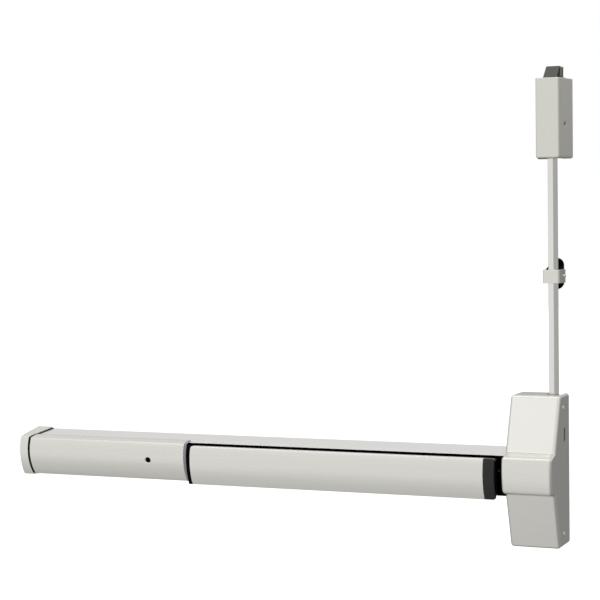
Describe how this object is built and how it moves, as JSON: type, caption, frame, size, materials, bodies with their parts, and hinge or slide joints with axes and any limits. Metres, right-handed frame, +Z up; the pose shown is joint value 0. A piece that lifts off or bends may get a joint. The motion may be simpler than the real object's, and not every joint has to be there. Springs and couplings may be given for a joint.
{
  "type": "vertical rod exit device",
  "caption": "Surface vertical rod exit device: push rail, mechanism case, hexagonal rod with guide and top latch, satin metal.",
  "frame": {"origin": "on the door face, at the middle of the case's four door screws and on the push rail's centre line", "axes": "+X along the push rail towards the case, +Y into the door, +Z up along the rod"},
  "size_m": [0.8215, 0.0941, 0.625],
  "materials": {
    "satin_steel": "satin",
    "satin_aluminium": "satin",
    "cast_case": "brushed",
    "plain_steel": "plain",
    "zinc_steel": "bright",
    "dark_bolt": "matte",
    "black_plastic": "gloss",
    "black_rubber": "matte",
    "grey_plastic": "gloss"
  },
  "bodies": {
    "frame": {"rail_channel": "satin_aluminium", "rail_cover": "satin_steel", "cover_end_bezel": "grey_plastic", "end_cap": "cast_case", "end_cap_gasket": "black_rubber", "end_cap_screws": "zinc_steel", "end_bracket": "plain_steel", "rocker_bracket_left": "plain_steel", "rocker_bracket_right": "plain_steel", "rocker_pivot_pins": "zinc_steel", "spring_stop": "plain_steel", "dogging_bracket": "plain_steel", "rail_filler": "black_plastic", "case_cover": "cast_case", "case_cover_screws": "zinc_steel", "case_base": "plain_steel", "crank_pivot_pin": "zinc_steel", "lift_guide": "plain_steel", "guide_strap": "satin_steel", "guide_block": "black_plastic", "guide_screws": "zinc_steel", "latch_cover": "satin_steel", "latch_chassis": "plain_steel", "latch_cover_screws": "zinc_steel", "trip_pin": "zinc_steel"},
    "bar": {"touch_bar": "satin_steel", "bar_carrier": "black_plastic", "bar_pins": "zinc_steel", "bar_left_plug": "black_plastic", "bar_right_plug": "black_plastic"},
    "left_rocker": {"rocker_left": "plain_steel", "rocker_link_pin_left": "zinc_steel"},
    "right_rocker": {"rocker_right": "plain_steel", "rocker_link_pin_right": "zinc_steel"},
    "draw": {"drawbar": "plain_steel", "drawbar_yoke": "plain_steel", "yoke_pin": "zinc_steel", "yoke_rivets": "zinc_steel", "spring_tab": "plain_steel", "return_spring": "zinc_steel", "dogging_catch": "plain_steel"},
    "crank": {"bell_crank": "plain_steel", "crank_pin": "zinc_steel"},
    "rod": {"lift_block": "plain_steel", "adjusting_stud": "zinc_steel", "lock_nut": "zinc_steel", "vertical_rod": "satin_steel", "bolt_stud": "zinc_steel", "latch_bolt": "dark_bolt", "bolt_spring": "zinc_steel"},
    "dogging": {"dogging_screw": "dark_bolt"},
    "trip": {"trip_lever": "dark_bolt"}
  },
  "joints": [
    {"name": "bar_push", "type": "slide", "parent": "frame", "child": "bar", "axis": [0, 1, 0], "range_m": [0, 0.016], "stiffness_N_per_m": 800, "springref_m": -0.02},
    {"name": "rocker_left_turn", "type": "hinge", "parent": "frame", "child": "left_rocker", "pos_m": [-0.43, -0.032, 0], "axis": [0, 0, 1], "range_deg": [0, 31.5]},
    {"name": "rocker_right_turn", "type": "hinge", "parent": "frame", "child": "right_rocker", "pos_m": [-0.15, -0.032, 0], "axis": [0, 0, 1], "range_deg": [0, 31.5]},
    {"name": "drawbar_slide", "type": "slide", "parent": "frame", "child": "draw", "axis": [-1, 0, 0], "range_m": [0, 0.0118], "deforming": ["return_spring"]},
    {"name": "crank_turn", "type": "hinge", "parent": "frame", "child": "crank", "pos_m": [-0.00994, -0.016, 0.021], "axis": [0, 1, 0], "range_deg": [0, 32.5]},
    {"name": "rod_slide", "type": "slide", "parent": "frame", "child": "rod", "axis": [0, 0, -1], "range_m": [0, 0.016], "deforming": ["bolt_spring"]},
    {"name": "dogging_turn", "type": "hinge", "parent": "frame", "child": "dogging", "pos_m": [-0.567, -0.0355, -0.0026], "axis": [0, 1, 0], "range_deg": [0, 90]},
    {"name": "trip_turn", "type": "hinge", "parent": "frame", "child": "trip", "pos_m": [0.0289, -0.012, 0.474], "axis": [1, 0, 0], "range_deg": [0, 10], "stiffness_Nm_per_rad": 0.05, "springref_deg": -20.05}
  ],
  "couplings": [
    {"joint": "rocker_left_turn", "follows": "bar_push", "rad_per_m": 33.816},
    {"joint": "rocker_right_turn", "follows": "bar_push", "rad_per_m": 33.816},
    {"joint": "drawbar_slide", "follows": "bar_push", "ratio": 0.7349},
    {"joint": "crank_turn", "follows": "bar_push", "rad_per_m": 34.906},
    {"joint": "rod_slide", "follows": "bar_push", "ratio": 1}
  ]
}
